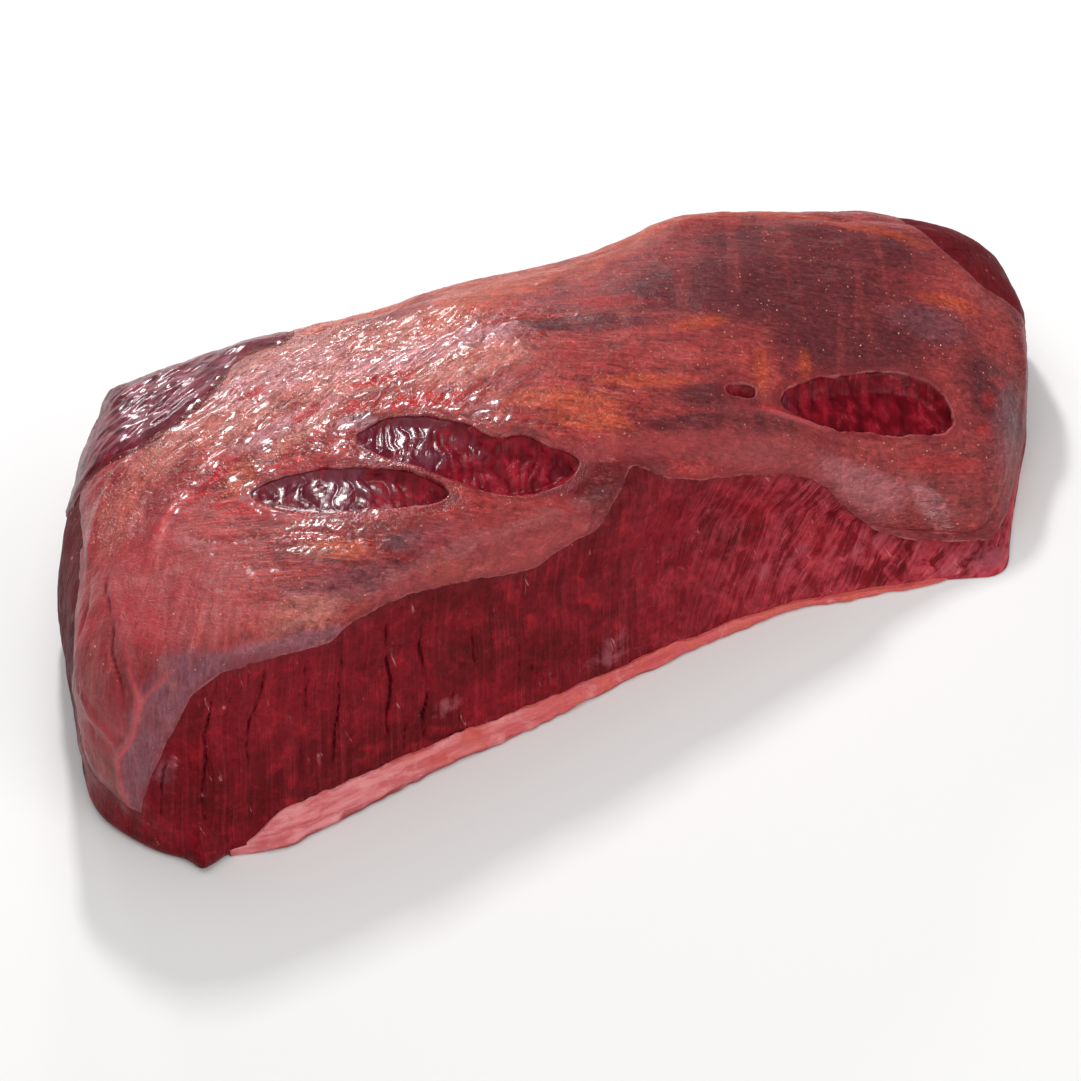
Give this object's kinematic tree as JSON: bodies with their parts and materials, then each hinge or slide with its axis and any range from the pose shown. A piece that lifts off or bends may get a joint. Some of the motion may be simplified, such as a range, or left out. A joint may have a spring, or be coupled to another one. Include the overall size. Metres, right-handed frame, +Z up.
{
  "type": "raw beef brisket",
  "caption": "Long uncooked beef brisket lying fat side down, with a cut lean face at the front, a pale fat layer underneath and a thin membrane draped over the top and ends.",
  "frame": {"origin": "on the surface it lies on, below the middle of its length and width", "axes": "+X along the length towards the thin end, -Y out of the long cut face, +Z up from the fat side to the membrane side"},
  "size_m": [0.4559, 0.2344, 0.0941],
  "materials": {
    "lean_muscle": "moist raw lean beef, dark crimson",
    "fat_cap": "moist pale pink fat",
    "membrane": "wet pinkish brown membrane with thin fat in it"
  },
  "bodies": {
    "root": {"lean_muscle": "lean_muscle", "fat_cap": "fat_cap", "membrane": "membrane"}
  },
  "joints": []
}
